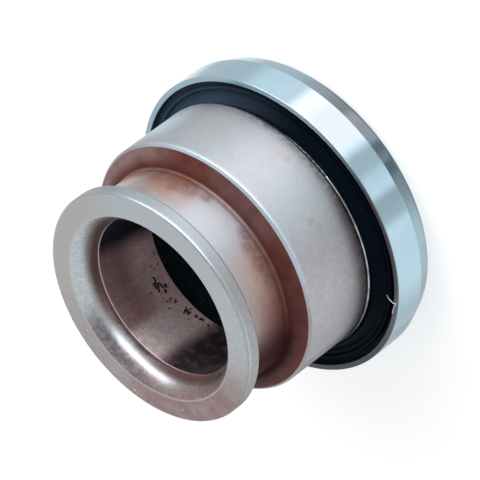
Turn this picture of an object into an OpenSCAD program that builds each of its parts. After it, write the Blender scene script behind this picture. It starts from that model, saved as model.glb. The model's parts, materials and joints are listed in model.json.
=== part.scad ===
// Clutch release bearing: a sliding collar with a fork groove carries a sealed, self-centring
// angular contact ball bearing whose outer ring meets the clutch fingers.
// It stands on the contact face: z = 0 is the contact face, +Z runs to the flange.

/* [Collar] */
// diameter of the two bore lands that slide on the guide tube
bore_d = 35; // [34.4:0.1:36]
// diameter of the mouth where it breaks the flange face
mouth_d = 40.9; // [40:0.1:42]
// depth of the rounded mouth
mouth_depth = 5.1; // [4.5:0.1:6]
// radius of the mouth's rounded wall
mouth_round = 7.5; // [6.5:0.1:10]
// width of the fine edge break between mouth and bore
mouth_break = 0.25; // [0.15:0.05:0.4]
// diameter of the flange
flange_d = 50.8; // [49.6:0.1:53]
// thickness of the flange at its rim
flange_t = 3.6; // [3:0.1:5]
// radius of the flange's front edge
flange_round = 1; // [0.5:0.1:1.3]
// diameter of the fork groove's floor
groove_d = 45.8; // [44:0.1:46.6]
// width of the fork groove's floor
groove_w = 9.6; // [8:0.1:12]
// lean of the groove wall on the flange side
flange_lean = 1; // [0.4:0.1:1.5]
// lean of the groove wall on the body side
shoulder_lean = 1.7; // [0.6:0.1:2.2]
// diameter of the thick body
body_d = 54.8; // [53.6:0.1:55.6]
// length of the thick body
body_len = 17.1; // [15:0.1:20]
// chamfer on the body's front edge
body_chamfer = 0.5; // [0.3:0.1:0.9]
// radius of the body's rear edge
body_round = 0.9; // [0.5:0.1:1.2]
// length of the bore land next to the mouth
front_land = 14.9; // [13:0.1:16]
// depth of the grease recess between the lands
recess_depth = 1.7; // [1:0.1:2.2]
// length of the grease recess
recess_len = 11.5; // [9:0.1:12.5]
// wall of the spigot behind the body
spigot_wall = 3.1; // [2.8:0.1:3.3]

/* [Bearing] */
// outside diameter of the bright ring
ring_d = 65.9; // [65:0.1:67]
// height of the ring from contact face to front rim
ring_h = 11.6; // [11.5:0.1:13]
// height of the straight band on the ring
band_h = 6.9; // [6:0.1:7.4]
// lean of the ring's tapered rear edge, in degrees
taper_deg = 20; // [15:1:25]
// radius that runs from the taper to the contact face
contact_round = 2.4; // [1.8:0.1:3]
// width of the ring's front rim
rim_w = 1.2; // [0.9:0.1:1.4]
// gap between the ring's rim and the body's rear face
body_gap = 1.6; // [1.2:0.1:2]
// diameter of a ball
ball_d = 5.556; // [5.2:0.001:5.6]
// wall of the ring under the balls
floor_t = 3.35; // [3.2:0.05:3.4]

/* [Self-centring] */
// distance between bearing axis and collar axis, as the bearing was left
rest_offset = 0.95; // [0:0.05:1]
// room all round between race and spigot
float_play = 1.5; // [1.45:0.05:1.6]

/* [Seals and retention] */
// thickness of the front seal's web
seal_t = 0.9; // [0.7:0.05:1]
// depth of the front seal's face below the ring's rim
seal_sink = 0.85; // [0.7:0.05:0.85]
// radius of the bead on the front seal
bead_r = 0.45; // [0.3:0.05:0.55]
// width of the groove between bead and ring
bead_gap = 1.1; // [0.6:0.1:1.3]
// thickness of the snap ring
snap_t = 1; // [0.8:0.1:1]
// width of the snap ring
snap_w = 3.1; // [2.6:0.1:3.2]
// thickness of the disc spring
spring_t = 0.5; // [0.4:0.05:0.6]

/* [Hidden] */
$fn = 128;
// number of balls
ball_n = 20;
// radial room of a ball in its grooves
race_clear = 0.075;
// room of a ball in its cage pocket
pocket_clear = 0.15;
// room between sliding flat faces
slide_clear = 0.05;
// room of a part pressed into its seat
seat_clear = 0.02;
// room between a seal lip and the race
lip_clear = 0.15;
// small edge breaks on turned parts
edge = 0.2;
// reach of a cut beyond the face it opens
over = 1;
// height of the disc spring as fitted
spring_h = 0.95;
// reach of the disc spring inwards past the race's bore
spring_reach = 0.15;
// inset of the disc spring from the race's rim
spring_inset = 0.9;
// reach of the race below the floor of the ball track
race_drop = 0.25;
// step of the race's seal land above its high shoulder, and the radius of the land's front edge
land_step = 0.3;
land_round = 0.3;
// depth of the snap ring's groove
snap_sink = 0.75;
// length of the spigot beyond the snap ring
spigot_lip = 0.75;
// gap between the front seal's lip and the body
lip_gap = 0.7;
// width and height of the front seal's lip
lip_w = 0.5;
lip_h = 0.65;
// wall of the rear seal, its web, the root of the web and its place above the track's floor
rear_wall = 0.6;
rear_web = 0.35;
rear_root = 0.15;
rear_lift = 0.2;
// bevel on the rear seal's pressed edge
rear_bevel_w = 0.55;
rear_bevel_h = 0.3;
// roof of the cage over a ball, its room at both sides and its skirt below the ball centres
cage_roof = 0.45;
cage_room = 0.6;
cage_skirt = 0.6;

// radii
bore_r = bore_d / 2;
mouth_r = mouth_d / 2;
flange_r = flange_d / 2;
groove_r = groove_d / 2;
body_r = body_d / 2;
recess_r = bore_r + recess_depth;
spigot_r = bore_r + spigot_wall;
ring_r = ring_d / 2;
ball_r = ball_d / 2;
track_r = ball_r + race_clear;
race_bore_r = spigot_r + float_play;
// the ball centres lie midway between the race's bore and the outside of the ring
pitch_d = race_bore_r + ring_r;
pitch_r = pitch_d / 2;
// low shoulder of the race below the balls, high shoulder above them
race_low_r = pitch_r - 0.8 * ball_r;
race_high_r = pitch_r - 0.36 * ball_r;
// land of the race under the front seal's lip
seal_land_r = race_high_r + land_step;
// low shoulder of the outer ring above the balls, high shoulder below them
ring_low_r = pitch_r + 0.72 * ball_r;
ring_high_r = pitch_r - 0.29 * ball_r;
seat_r = ring_r - rim_w;

// heights above the contact face
z_ball = floor_t + track_r;
z_band = ring_h - band_h;
z_seat = ring_h - seal_sink - seal_t;
z_seal = ring_h - seal_sink;
z_body = ring_h + body_gap;
z_shoulder = z_body + body_len;
z_floor_low = z_shoulder + shoulder_lean;
z_floor_high = z_floor_low + groove_w;
z_flange = z_floor_high + flange_lean;
z_top = z_flange + flange_t;
z_mouth = z_top - mouth_depth;
z_land = z_mouth - mouth_break - front_land;
z_recess = z_land - recess_len;
// race, spring, snap ring and spigot end, stacked from the balls down to the contact plane
z_race = floor_t - race_drop;
z_race_top = z_body - slide_clear;
z_snap = z_race - spring_h - snap_t;
z_spigot = z_snap - spigot_lip;

// centre of the arc of radius r through points a and b, on the right hand side of a to b
function arc_centre(a, b, r) =
    let (d = b - a, h = sqrt(r * r - d * d / 4))
    (a + b) / 2 + h * [-d[1], d[0]] / norm(d);

// tangent arc between the ring's taper and the contact face
taper_z = contact_round;
taper_r = ring_r - tan(taper_deg) * (z_band - taper_z) - contact_round / cos(taper_deg);

function ball_name(i) = str("ball_", i < 10 ? "0" : "", i);

// rounds a convex corner: the quarter of a disc that fills a cut corner
module corner_fill(centre, r, reach) {
    intersection() {
        translate(centre)
            circle(r);
        translate(centre)
            square(reach * r);
    }
}

// half section of the collar, x is the radius from its own axis
module collar_section() {
    flange_centre = [flange_r - flange_round, z_top - flange_round];
    body_centre = [body_r - body_round, z_body + body_round];
    mouth_top = [mouth_r, z_top];
    mouth_end = [bore_r + mouth_break, z_mouth];
    difference() {
        union() {
            polygon([
                [bore_r + edge, z_spigot],
                [spigot_r - edge, z_spigot],
                [spigot_r, z_spigot + edge],
                [spigot_r, z_snap - slide_clear],
                [spigot_r - snap_sink, z_snap - slide_clear],
                [spigot_r - snap_sink, z_snap + snap_t + slide_clear],
                [spigot_r, z_snap + snap_t + slide_clear],
                [spigot_r, z_body],
                [body_r - body_round, z_body],
                [body_r, z_body + body_round],
                [body_r, z_shoulder - body_chamfer],
                [body_r - body_chamfer, z_shoulder],
                [groove_r, z_floor_low],
                [groove_r, z_floor_high],
                [flange_r - 2 * edge, z_flange],
                [flange_r, z_flange + 2 * edge],
                [flange_r, z_top - flange_round],
                [flange_r - flange_round, z_top],
                [bore_r, z_top],
                [bore_r, z_land],
                [recess_r, z_land - 2 * edge],
                [recess_r, z_recess + 2 * edge],
                [bore_r, z_recess],
                [bore_r, z_spigot + edge]
            ]);
            corner_fill(flange_centre, flange_round, 2);
            mirror([0, 1])
                corner_fill([body_centre[0], -body_centre[1]], body_round, 2);
        }
        // rounded mouth, with a fine break where it meets the bore
        difference() {
            polygon([
                mouth_top,
                mouth_end,
                [bore_r, z_mouth - mouth_break],
                [bore_r - over, z_mouth - mouth_break],
                [bore_r - over, z_top + over],
                [mouth_r, z_top + over]
            ]);
            translate(arc_centre(mouth_top, mouth_end, mouth_round))
                circle(mouth_round);
        }
    }
}

// half section of the outer ring, x is the radius from the bearing axis
module outer_ring_section() {
    difference() {
        union() {
            polygon([
                [ring_high_r + 2 * edge, 0],
                [taper_r, 0],
                [taper_r + contact_round * cos(taper_deg), taper_z - contact_round * sin(taper_deg)],
                [ring_r, z_band],
                [ring_r, ring_h - edge],
                [ring_r - edge, ring_h],
                [seat_r + edge, ring_h],
                [seat_r, ring_h - edge],
                [seat_r, z_seat],
                [ring_low_r, z_seat],
                [ring_low_r, z_ball],
                [ring_high_r, z_ball],
                [ring_high_r, 2 * edge]
            ]);
            // rounded edge of the contact face
            intersection() {
                translate([taper_r, taper_z])
                    circle(contact_round);
                polygon([
                    [taper_r, taper_z],
                    [taper_r, -over],
                    [ring_r, -over],
                    [taper_r + 2 * contact_round * cos(taper_deg), taper_z - 2 * contact_round * sin(taper_deg)]
                ]);
            }
        }
        translate([pitch_r, z_ball])
            circle(track_r);
    }
}

// sintered sliding collar
module collar() {
    color([0.62, 0.60, 0.60])
        translate([rest_offset, 0, 0])
            rotate_extrude()
                collar_section();
}

// bright steel ring with the contact face
module outer_ring() {
    color([0.76, 0.80, 0.83])
        rotate_extrude()
            outer_ring_section();
}

// fixed ring of the bearing, loose round the spigot
module inner_race() {
    color([0.60, 0.61, 0.62])
        rotate_extrude()
            difference() {
                union() {
                    polygon([
                        [race_bore_r, z_race],
                        [race_low_r, z_race],
                        [race_low_r, z_ball],
                        [race_high_r, z_ball],
                        [race_high_r, z_seat],
                        [seal_land_r, z_seat],
                        [seal_land_r, z_race_top - land_round],
                        [seal_land_r - land_round, z_race_top],
                        [race_bore_r, z_race_top]
                    ]);
                    corner_fill([seal_land_r - land_round, z_race_top - land_round], land_round, 2);
                }
                translate([pitch_r, z_ball])
                    circle(track_r);
            }
}

// black dished seal, seated in the ring's front
module front_seal() {
    bead_x = seat_r - bead_gap - bead_r;
    lip_r = seal_land_r + lip_clear;
    z_lip = z_body - lip_gap;
    color([0.03, 0.035, 0.045])
        rotate_extrude() {
            polygon([
                [seat_r - seat_clear, z_seat],
                [seat_r - seat_clear, z_seat + 0.4 * seal_t],
                [bead_x + bead_r, z_seat + 0.4 * seal_t],
                [bead_x + bead_r, z_seal],
                [ring_low_r - lip_w, z_seal],
                [lip_r + lip_w, z_lip],
                [lip_r, z_lip],
                [lip_r, z_lip - lip_h],
                [ring_low_r - seal_t, z_seat]
            ]);
            translate([bead_x, z_seal])
                circle(bead_r);
        }
}

// rear seal, pressed into the contact rim
module rear_seal() {
    lip_r = race_low_r + lip_clear;
    press_r = ring_high_r - seat_clear;
    z_web = floor_t + rear_lift;
    color([0.03, 0.035, 0.045])
        rotate_extrude()
            polygon([
                [press_r, z_snap],
                [press_r, z_web - rear_bevel_h],
                [press_r - rear_bevel_w, z_web],
                [lip_r, z_web],
                [lip_r, z_web - rear_web],
                [press_r - rear_wall, z_web - rear_web - rear_root],
                [press_r - rear_wall, z_snap]
            ]);
}

// one ball, at its place on the pitch circle
module ball(i) {
    color([0.78, 0.79, 0.80])
        rotate([0, 0, 360 * i / ball_n])
            translate([pitch_r, 0, z_ball])
                sphere(ball_r);
}

// crown cage: a moulded ring over the balls with fingers between them
module cage() {
    cage_in = race_high_r + cage_room;
    cage_out = ring_low_r - cage_room;
    cage_top = z_ball + ball_r + pocket_clear + cage_roof;
    color([0.80, 0.74, 0.60])
        difference() {
            rotate_extrude()
                translate([cage_in, z_ball - cage_skirt])
                    square([cage_out - cage_in, cage_top - z_ball + cage_skirt]);
            for (i = [1:ball_n])
                rotate([0, 0, 360 * i / ball_n])
                    translate([pitch_r, 0, z_ball])
                        sphere(ball_r + pocket_clear);
        }
}

// conical spring washer between snap ring and race
module disc_spring() {
    spring_in = race_bore_r - spring_reach;
    spring_out = race_low_r - spring_inset;
    z_low = z_snap + snap_t + seat_clear;
    z_high = z_race - seat_clear;
    color([0.35, 0.36, 0.38])
        rotate_extrude()
            polygon([
                [spring_in, z_low],
                [spring_in, z_low + spring_t],
                [spring_out, z_high],
                [spring_out, z_high - spring_t]
            ]);
}

// open snap ring in the spigot's groove
module snap_ring() {
    gap_deg = 24;
    snap_in = spigot_r - snap_sink + seat_clear;
    color([0.40, 0.41, 0.43])
        translate([rest_offset, 0, 0])
            rotate([0, 0, 90 + gap_deg / 2])
                rotate_extrude(angle = 360 - gap_deg)
                    translate([snap_in, z_snap])
                        square([snap_w, snap_t]);
}

collar();
outer_ring();
front_seal();
inner_race();
cage();
rear_seal();
disc_spring();
snap_ring();
for (i = [1:ball_n]) {
    ball(i);
}
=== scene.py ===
import bpy
import bmesh
import json
import math
import random
from mathutils import Matrix, Vector
from types import SimpleNamespace


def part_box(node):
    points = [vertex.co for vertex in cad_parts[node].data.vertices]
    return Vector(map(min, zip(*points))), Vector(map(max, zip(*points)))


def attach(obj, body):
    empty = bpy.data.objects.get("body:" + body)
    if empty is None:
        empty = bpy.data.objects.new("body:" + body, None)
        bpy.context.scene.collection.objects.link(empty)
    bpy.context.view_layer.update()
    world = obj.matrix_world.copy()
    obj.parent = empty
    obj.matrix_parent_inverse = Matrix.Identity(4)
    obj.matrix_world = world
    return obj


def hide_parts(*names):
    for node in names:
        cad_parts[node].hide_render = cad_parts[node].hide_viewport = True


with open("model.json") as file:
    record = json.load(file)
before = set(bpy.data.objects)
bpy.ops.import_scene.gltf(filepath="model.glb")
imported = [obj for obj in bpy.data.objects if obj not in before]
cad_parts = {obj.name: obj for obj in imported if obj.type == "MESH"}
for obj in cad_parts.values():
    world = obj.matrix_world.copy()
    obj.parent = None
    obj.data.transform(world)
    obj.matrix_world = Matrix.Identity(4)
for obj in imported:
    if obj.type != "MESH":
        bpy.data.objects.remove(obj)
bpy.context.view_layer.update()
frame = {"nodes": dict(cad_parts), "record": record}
nodes = frame["nodes"]
mm = 0.001
collarLow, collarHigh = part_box("collar")
collarAxis = (collarLow[0] + collarHigh[0]) / 2 / mm  # the collar stands off the bearing's axis
collarTop = collarHigh[2] / mm
print("frame loaded:", len(nodes), "nodes, collar axis at", round(collarAxis, 3), "mm")


# short ways to build node trees
def put(tree, kind, inputs=None, **settings):
    made = tree.nodes.new(kind)
    for key, value in settings.items():
        setattr(made, key, value)
    for key, value in (inputs or {}).items():
        if isinstance(value, bpy.types.NodeSocket):
            tree.links.new(value, made.inputs[key])
        else:
            made.inputs[key].default_value = value
    return made


def calc(tree, operation, *values):
    return put(tree, "ShaderNodeMath", dict(enumerate(values)), operation=operation).outputs[0]


def times(tree, *values):
    result = values[0]
    for value in values[1:]:
        result = calc(tree, "MULTIPLY", result, value)
    return result


def ramp(tree, value, low, high, start=0.0, end=1.0):
    inputs = {"Value": value, "From Min": low, "From Max": high, "To Min": start, "To Max": end}
    return put(tree, "ShaderNodeMapRange", inputs, interpolation_type="SMOOTHSTEP").outputs[0]


def zone(tree, value, low, high, soft):
    rise = ramp(tree, value, low - soft, low + soft)
    fall = ramp(tree, value, high - soft, high + soft, 1.0, 0.0)
    return calc(tree, "MULTIPLY", rise, fall)


def sector(tree, turn, middle, half, soft):
    # 1 within half degrees of the middle, fading over the soft degrees at both ends
    lined = calc(tree, "COSINE", calc(tree, "SUBTRACT", turn, math.radians(middle)))
    far, near = math.radians(min(180, half + soft)), math.radians(max(0, half - soft))
    return ramp(tree, lined, math.cos(far), math.cos(near))


def tint(tree, factor, first, second, mode="MIX"):
    made = put(tree, "ShaderNodeMix", {0: factor, 6: first, 7: second}, data_type="RGBA", blend_type=mode)
    return made.outputs[2]


def dab(tree, colour, shade, *fades, mode="MIX"):
    # lays a shade over the colour where all the fades meet
    return tint(tree, times(tree, *fades), colour, shade, mode)


def noise(tree, vector, scale, detail=3.0, rough=0.55):
    inputs = {"Vector": vector, "Scale": scale, "Detail": detail, "Roughness": rough}
    return put(tree, "ShaderNodeTexNoise", inputs).outputs["Fac"]


def shaded(tree, colour, value):
    # the colour, darker or lighter by a grey value
    grey = put(tree, "ShaderNodeCombineColor", {0: value, 1: value, 2: value}).outputs[0]
    return tint(tree, 1.0, colour, grey, "MULTIPLY")


def rgb(r, g, b):
    return (r, g, b, 1.0)


def around(turn, radius, height):
    t = math.radians(turn)
    return (radius * math.cos(t) * mm, radius * math.sin(t) * mm, height * mm)


def emptyTree(name):
    finish = bpy.data.materials.new(name)
    finish.use_nodes = True
    finish.node_tree.nodes.clear()
    return finish, finish.node_tree


def startFinish(name):
    finish, tree = emptyTree(name)
    shader = put(tree, "ShaderNodeBsdfPrincipled")
    put(tree, "ShaderNodeOutputMaterial", {"Surface": shader.outputs[0]})
    return finish, tree, shader


def placeOn(tree, axis=0.0):
    # object coordinates centred on the piece's own axis, then radius, turn angle and height
    spot = put(tree, "ShaderNodeTexCoord").outputs["Object"]
    moved = put(tree, "ShaderNodeMapping", {"Vector": spot, "Location": (-axis * mm, 0, 0)}).outputs[0]
    parts = put(tree, "ShaderNodeSeparateXYZ", {0: moved}).outputs
    flat = put(tree, "ShaderNodeCombineXYZ", {0: parts[0], 1: parts[1]}).outputs[0]
    radius = put(tree, "ShaderNodeVectorMath", {0: flat}, operation="LENGTH").outputs["Value"]
    turn = calc(tree, "ARCTAN2", parts[1], parts[0])
    return moved, radius, turn, parts[2]


def blot(tree, spot, place, size, core=0.3):
    # a round spot at (turn, radius, height), full in its core and fading to its size in mm
    inputs = {0: spot, 1: around(*place)}
    away = put(tree, "ShaderNodeVectorMath", inputs, operation="DISTANCE").outputs["Value"]
    return ramp(tree, away, core * size * mm, size * mm, 1.0, 0.0)


def bump(tree, height, strength, deep):
    inputs = {"Height": height, "Strength": strength, "Distance": deep * mm}
    return put(tree, "ShaderNodeBump", inputs).outputs[0]


# sintered iron of the collar, with the tints that heat and oil left on it, and with painted highlights and
# painted shade
ironLook = dict(
    clean=rgb(0.505, 0.562, 0.585), warm=rgb(0.48, 0.45, 0.455), pink=rgb(0.52, 0.45, 0.435),
    highlight=rgb(0.66, 0.75, 0.81), dusk=rgb(0.16, 0.11, 0.125), spot=rgb(0.43, 0.39, 0.30),
    keyShade=rgb(0.90, 0.915, 0.925), blush=rgb(0.97, 0.91, 0.90),
    neck=rgb(0.455, 0.485, 0.505), sand=rgb(0.72, 0.60, 0.54), tan=rgb(0.47, 0.30, 0.24),
    brown=rgb(0.55, 0.40, 0.345), umber=rgb(0.28, 0.155, 0.15), rustAndShade=rgb(0.072, 0.015, 0.019),
    smudge=rgb(0.30, 0.19, 0.185), root=rgb(0.72, 0.54, 0.46), darkEnd=rgb(0.55, 0.40, 0.48),
    rust=rgb(0.155, 0.047, 0.039), dryRust=rgb(0.195, 0.086, 0.078), rustSheen=rgb(0.29, 0.175, 0.16),
    rootRust=rgb(0.8, 0.62, 0.6), lowRust=rgb(0.42, 0.34, 0.38),
    face=rgb(0.62, 0.585, 0.555), cool=rgb(0.63, 0.66, 0.68), stain=rgb(0.42, 0.27, 0.25),
    rim=rgb(0.80, 0.86, 0.88), warmRim=rgb(1.02, 0.88, 0.83), worn=rgb(0.75, 0.76, 0.75),
    pit=rgb(0.80, 0.80, 0.80), pale=rgb(0.74, 0.77, 0.78), grime=rgb(0.17, 0.118, 0.128),
    lip=rgb(0.23, 0.105, 0.092), lipShade=rgb(1.0, 0.82, 0.80), lipHighlight=rgb(0.80, 0.70, 0.68),
    bore=rgb(0.315, 0.185, 0.19), boreDeep=rgb(0.80, 0.57, 0.56), highlightStreak=rgb(0.75, 0.63, 0.62),
    scuff=rgb(0.026, 0.019, 0.025), shade=rgb(0.002, 0.008, 0.014), recess=rgb(0.003, 0.012, 0.022),
    fleck=rgb(0.05, 0.10, 0.14),
    noises=dict(cloud=(95, 4), patch=(260, 3), fine=(1100, 4, 0.6), grain=(3400, 2, 0.65),
                grit=(2300, 3, 0.6)),
    mottle=(0.30, 0.62, 0.6, 1.0), grainy=(0.25, 0.75, 0.91, 1.06),
    speckled=(0.3, 0.7, 0.94, 1.07), speckledSide=(-160, 50, 20),
    rough=0.45, roughSpread=0.06, polish=0.16, polishRise=(44.9, 45.6), oxideRough=0.15, rustShadeRough=0.45,
    stepOxide=0.35, landOxide=0.75, recessOxide=0.8, rustShadeOxide=0.25, bump=0.06, deep=0.03)


def ironPlace(tree, look):
    # fades by height and radius in mm, and round the collar as (middle, half, softness) in degrees
    spot, radius, turn, height = placeOn(tree, collarAxis)
    on = SimpleNamespace(tree=tree, spot=spot, turn=turn, height=height)
    on.level = lambda low, high, start=0.0, end=1.0: ramp(tree, height, low * mm, high * mm, start, end)
    on.out = lambda low, high, start=0.0, end=1.0: ramp(tree, radius, low * mm, high * mm, start, end)
    on.side = lambda middle, half, soft: sector(tree, turn, middle, half, soft)
    on.belt = lambda low, high, soft: zone(tree, height, low * mm, high * mm, soft * mm)
    on.ring = lambda low, high, soft: zone(tree, radius, low * mm, high * mm, soft * mm)
    for name, values in look["noises"].items():
        setattr(on, name, noise(tree, spot, *values))
    on.mottle = ramp(tree, on.patch, *look["mottle"])
    return on


# body: cool metal with a painted highlight low on one side and painted shade where the key light falls;
# warmer, with painted shade, on the other side, and darker along its rear edge
bodyFades = dict(
    warmShade=(-148, 44, 13), warmShadeCloud=(0.3, 0.6, 0.8, 1.0), warmShadeTop=(42.4, 43.4, 1.0, 0.25),
    keyShaded=(-68, 18, 14), blushed=(-25, 22, 14), sheen=(-6, 12, 10), sheenRise=(24, 29, 1.0, 0.0),
    flushed=(8, 16, 10), flushedRise=(24, 29, 0.0, 0.9), dim=(178, 13, 8), dimShare=0.6,
    cloudy=(0.46, 0.68, 0.0, 0.50), patchy=(0.45, 0.68, 0.0, 0.36),
    freckles=(480, 4, 0.6), freckled=(0.40, 0.74, 0.0, 0.30), stainGrain=(0.35, 0.60, 0.0, 0.75),
    stains=[((-105, 27.4, 21.4), 1.4), ((-101, 27.4, 22.3), 1.2), ((-102, 27.4, 14.6), 1.0),
            ((-60, 27.4, 26.0), 0.8), ((-75, 27.4, 17.5), 1.2)],
    rear=(-143, 44, 12), rearRise=(13.4, 18.0, 0.9, 0.0),
    hem=(-100, 52, 14), hemRise=(13.6, 16.4, 0.8, 0.0), hemGrain=(0.38, 0.62, 0.15, 1.0))


def bodyTints(on, look, f):
    tree = on.tree
    # warmer tone with painted shade on the far side, less of it on the flange
    warmShade = times(tree, on.side(*f["warmShade"]), ramp(tree, on.cloud, *f["warmShadeCloud"]),
                    on.level(*f["warmShadeTop"]))
    colour = tint(tree, warmShade, look["clean"], look["warm"])
    # painted shade that dims the key light's highlight
    colour = dab(tree, colour, look["keyShade"], on.side(*f["keyShaded"]), mode="MULTIPLY")
    colour = dab(tree, colour, look["blush"], on.side(*f["blushed"]), mode="MULTIPLY")
    # painted highlight on one side, low on the body
    colour = dab(tree, colour, look["highlight"], on.side(*f["sheen"]), on.level(*f["sheenRise"]))
    colour = dab(tree, colour, look["pink"], on.side(*f["flushed"]), on.level(*f["flushedRise"]))
    # painted shade: the body darker on this side
    colour = dab(tree, colour, look["dusk"], on.side(*f["dim"]), f["dimShare"])
    colour = dab(tree, colour, look["warm"], ramp(tree, on.cloud, *f["cloudy"]))
    colour = dab(tree, colour, look["pink"], ramp(tree, on.patch, *f["patchy"]))
    freckles = noise(tree, on.spot, *f["freckles"])
    colour = dab(tree, colour, look["clean"], ramp(tree, freckles, *f["freckled"]))
    for place, size in f["stains"]:
        stain = blot(tree, on.spot, place, size)
        colour = dab(tree, colour, look["spot"], stain, ramp(tree, on.fine, *f["stainGrain"]))
    colour = dab(tree, colour, look["dusk"], on.side(*f["rear"]), on.level(*f["rearRise"]), on.mottle)
    hem = times(tree, on.side(*f["hem"]), on.level(*f["hemRise"]), ramp(tree, on.fine, *f["hemGrain"]))
    return dab(tree, colour, look["dusk"], hem)


# fork groove: tan on one side, pale in the middle, brown to near black on the other as rust with painted
# shade, browner towards the shoulder
grooveFades = dict(
    belt=(31.2, 42.5, 0.3), inner=(20.5, 22.0), outer=(23.4, 25.0, 1.0, 0.25), top=(36.5, 41.5, 1.0, 0.45),
    sand=(30, 56, 10), tan=(-41, 11, 13), brown=(180, 84, 10), umber=(180, 60, 14), rustAndShade=(180, 35, 15),
    smudges=[((-95, 22.9, 33.8), 3.4), ((-88, 22.9, 33.4), 2.2), ((-54, 22.9, 34.6), 2.8),
             ((-63, 22.9, 33.8), 2.0), ((-46, 22.9, 36.0), 1.8), ((-105, 22.9, 34.0), 3.0),
             ((-115, 22.9, 33.6), 2.6)],
    smudgeGrain=(0.32, 0.60, 0.25, 0.75),
    root=(33.2, 38.0, 1.0, 0.0), rootClean=(-76, 14, 14), cleanShare=0.7)


def grooveTints(on, look, f, colour):
    tree = on.tree
    inside = times(tree, on.belt(*f["belt"]), on.out(*f["inner"]), on.out(*f["outer"]))
    fading = times(tree, inside, on.level(*f["top"]))
    colour = dab(tree, colour, look["neck"], inside)
    colour = dab(tree, colour, look["sand"], fading, on.side(*f["sand"]))
    colour = dab(tree, colour, look["tan"], fading, on.side(*f["tan"]), on.mottle)
    # brown and umber towards the far side: rust with painted shade
    colour = dab(tree, colour, look["brown"], fading, on.side(*f["brown"]))
    colour = dab(tree, colour, look["umber"], fading, on.side(*f["umber"]))
    for place, size in f["smudges"]:
        smudge = times(tree, blot(tree, on.spot, place, size), ramp(tree, on.fine, *f["smudgeGrain"]))
        colour = dab(tree, colour, look["smudge"], smudge, inside)
    # near black on the far side: rust with painted shade
    rustShaded = times(tree, inside, on.side(*f["rustAndShade"]))
    colour = dab(tree, colour, look["rustAndShade"], rustShaded)
    spared = calc(tree, "SUBTRACT", 1.0, times(tree, on.side(*f["rootClean"]), f["cleanShare"]))
    rooted = times(tree, inside, on.level(*f["root"]), on.mottle, spared)
    return dab(tree, colour, look["root"], rooted, mode="MULTIPLY"), rustShaded


# shoulder face, rusted to its chamfer and paler on one side with a painted reflection, with a painted
# highlight along its edge and a dark lower end
shoulderFades = dict(
    edge=(29.75, 30.3, 0.05), edgeOut=(26.0, 26.5), edgeBright=(-72, 48, 20),
    highlightStreak=(-72, 44, 20), highlightStreakRise=(28.9, 29.8), highlightStreakTop=(29.9, 30.1, 0.8, 0.0),
    low=(30.24, 30.34), top=(32.5, 33.6, 1.0, 0.0), inner=(22.7, 22.85), root=(23.0, 23.3, 0.6, 1.0),
    dry=(-78, 12, 14), pale=(2, 28, 16), paleOut=(23.4, 26.0), patchy=(0.3, 0.65, 0.8, 1.15),
    rootOut=(23.2, 24.6, 1.0, 0.0), lowSide=(174, 40, 18), lowOut=(23.6, 26.6, 1.0, 0.0),
    end=(150, 20, 14), endRise=(30.3, 31.0), endTop=(40.5, 42.0, 1.0, 0.0))


def shoulderTints(on, look, f, colour):
    tree = on.tree
    edge = times(tree, on.belt(*f["edge"]), on.out(*f["edgeOut"]))
    # the chamfer edge: a painted highlight on the key side, pink elsewhere
    colour = dab(tree, colour, tint(tree, on.side(*f["edgeBright"]), look["pink"], look["highlight"]), edge)
    # a painted highlight on the body just below the chamfer, on the key side
    highlightStreak = times(tree, on.level(*f["highlightStreakRise"]), on.level(*f["highlightStreakTop"]), on.out(*f["edgeOut"]))
    colour = dab(tree, colour, look["highlight"], highlightStreak, on.side(*f["highlightStreak"]))
    step = times(tree, on.level(*f["low"]), on.level(*f["top"]), on.out(*f["inner"]), on.out(*f["root"]))
    rusty = tint(tree, on.side(*f["dry"]), look["rust"], look["dryRust"])
    # paler rust with a painted reflection on this side
    rusty = dab(tree, rusty, look["rustSheen"], on.side(*f["pale"]), on.out(*f["paleOut"]))
    rusty = shaded(tree, rusty, ramp(tree, on.patch, *f["patchy"]))
    rusty = dab(tree, rusty, look["rootRust"], on.out(*f["rootOut"]), mode="MULTIPLY")
    rusty = dab(tree, rusty, look["lowRust"], on.side(*f["lowSide"]), on.out(*f["lowOut"]), mode="MULTIPLY")
    colour = dab(tree, colour, rusty, step)
    end = times(tree, on.side(*f["end"]), on.level(*f["endRise"]), on.level(*f["endTop"]),
                on.out(*f["inner"]))
    return dab(tree, colour, look["darkEnd"], end, mode="MULTIPLY"), edge, step


# flange: cool on one side, browner and speckled with rust on the other, worn bright at the mouth's edge;
# painted shade on its rim where the key light falls
flangeFades = dict(
    rimOut=(25.1, 25.3), rimRise=(42.4, 42.8), rimTop=(45.0, 45.5, 1.0, 0.0), rim=(-80, 70, 20),
    warmRim=(-128, 26, 14), face=(45.75, 46.1), cool=(-82, 58, 18), pink=(118, 45, 30),
    browned=(160, 38, 20), brownedRise=(42.5, 45.5),
    specks=(120, 60, 20), speckGrain=(0.60, 0.68, 0.0, 0.6), specksOut=(21.5, 24.5, 0.25, 1.0),
    specksRise=(44.5, 45.6), worn=(20.3, 20.65, 0.12), wornRise=(45.4, 45.8, 0.0, 0.5),
    pits=[((80, 21.8, 46.2), 0.35), ((118, 23.5, 46.2), 0.4), ((150, 22.6, 46.2), 0.3)], pitShare=0.8)


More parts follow.
